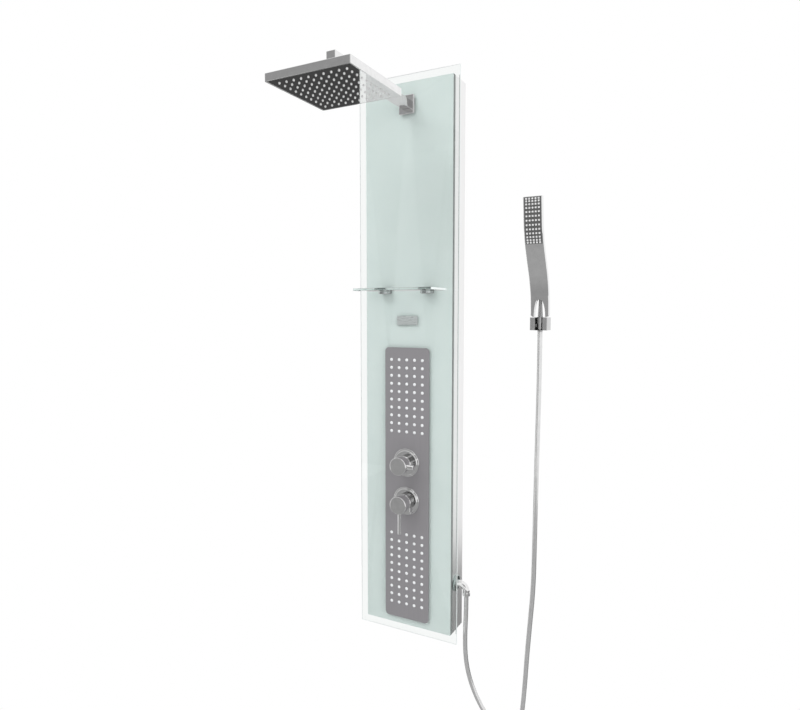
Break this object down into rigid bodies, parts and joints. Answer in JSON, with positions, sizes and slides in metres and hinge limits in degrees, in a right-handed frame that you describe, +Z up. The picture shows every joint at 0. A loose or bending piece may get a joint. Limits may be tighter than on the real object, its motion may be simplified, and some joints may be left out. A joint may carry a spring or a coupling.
{
  "type": "shower panel column",
  "caption": "Wall shower panel with a glass front, square overhead shower on an arm, glass shelf, body jets, diverter, lever mixer, and a hand shower on a hose with its own wall holder.",
  "frame": {"origin": "centre of the four wall screws, in the wall plane", "axes": "+Z up, +Y into the wall, +X to the user's right facing the panel; the user stands at -Y"},
  "size_m": [0.5105, 0.527, 1.7303],
  "materials": {
    "clear_glass": "clear, polished edges",
    "field_paint": "smooth, pale mint",
    "bonding_dark": "matt",
    "housing_alu": "satin",
    "hanging_steel": "galvanised",
    "plate_grey": "satin",
    "jet_rubber": "matt, pale",
    "chrome": "polished",
    "satin_plate": "satin",
    "brass": "raw casting",
    "inner_plastic": "moulded",
    "pipe_plastic": "smooth",
    "head_rubber": "matt",
    "spray_dark": "satin",
    "hose_silver": "smooth, silver",
    "seat_dark": "matt"
  },
  "bodies": {
    "panel": {"front_glass": "clear_glass", "colour_panel": "field_paint", "bonding_frame": "bonding_dark", "left_side_profile": "housing_alu", "right_side_profile": "housing_alu", "top_cap": "housing_alu", "bottom_cap": "housing_alu", "wall_brackets": "hanging_steel", "upper_hanging_rail": "hanging_steel", "lower_hanging_rail": "hanging_steel", "control_plate": "plate_grey", "upper_jet_nozzles": "jet_rubber", "lower_jet_nozzles": "jet_rubber", "upper_jet_chamber": "inner_plastic", "lower_jet_chamber": "inner_plastic", "badge_plate": "satin_plate", "shelf_glass": "clear_glass", "shelf_clamps": "chrome", "arm_flange": "chrome", "shower_arm": "chrome", "arm_lock_nut": "brass", "arm_inlet_elbow": "brass", "swivel_ball": "chrome", "mixer_rosette": "chrome", "diverter_rosette": "chrome", "mixer_body": "brass", "mixer_cartridge": "inner_plastic", "mixer_dome": "chrome", "diverter_body": "brass", "diverter_cartridge": "inner_plastic", "diverter_collar": "chrome", "mixer_link_pipe": "pipe_plastic", "upper_jets_pipe": "pipe_plastic", "head_riser_pipe": "pipe_plastic", "lower_jets_pipe": "pipe_plastic", "handset_feed_pipe": "pipe_plastic", "outlet_rosette": "chrome", "outlet_elbow": "chrome", "hose_nut": "chrome", "shower_hose": "hose_silver", "holder_body": "chrome", "holder_seat": "seat_dark"},
    "ball_ring": {"ball_friction_ring": "inner_plastic"},
    "overhead_shower": {"head_socket": "chrome", "head_shell": "chrome", "head_chamber": "inner_plastic", "head_face_plate": "chrome", "head_nozzles": "head_rubber"},
    "mixer_swivel": {"mixer_carrier": "brass", "mixer_pivot_pin": "hanging_steel"},
    "mixer_lever": {"mixer_stem": "brass", "mixer_handle": "chrome", "mixer_lever_pin": "chrome"},
    "diverter": {"diverter_stem": "brass", "diverter_knob": "chrome", "diverter_stub": "chrome"},
    "hand_shower": {"hose_cone": "chrome", "handset_body": "chrome", "handset_spray_plate": "spray_dark", "handset_nozzles": "spray_dark"}
  },
  "joints": [
    {"name": "head_tilt", "type": "hinge", "parent": "panel", "child": "ball_ring", "pos_m": [0, -0.422, 0.641], "axis": [1, 0, 0], "range_deg": [-12, 12]},
    {"name": "head_roll", "type": "hinge", "parent": "ball_ring", "child": "overhead_shower", "pos_m": [0, -0.422, 0.641], "axis": [0, 1, 0], "range_deg": [-12, 12]},
    {"name": "mixer_turn", "type": "hinge", "parent": "panel", "child": "mixer_swivel", "pos_m": [0, -0.099, -0.379], "axis": [0, 1, 0], "range_deg": [-45, 45]},
    {"name": "mixer_lift", "type": "hinge", "parent": "mixer_swivel", "child": "mixer_lever", "pos_m": [0, -0.099, -0.379], "axis": [-1, 0, 0], "range_deg": [0, 20]},
    {"name": "diverter_turn", "type": "hinge", "parent": "panel", "child": "diverter", "pos_m": [0, -0.099, -0.274], "axis": [0, -1, 0], "range_deg": [0, 180]},
    {"name": "hand_shower_lift", "type": "slide", "parent": "panel", "child": "hand_shower", "axis": [0, 0, 1], "range_m": [0, 0.045]}
  ]
}
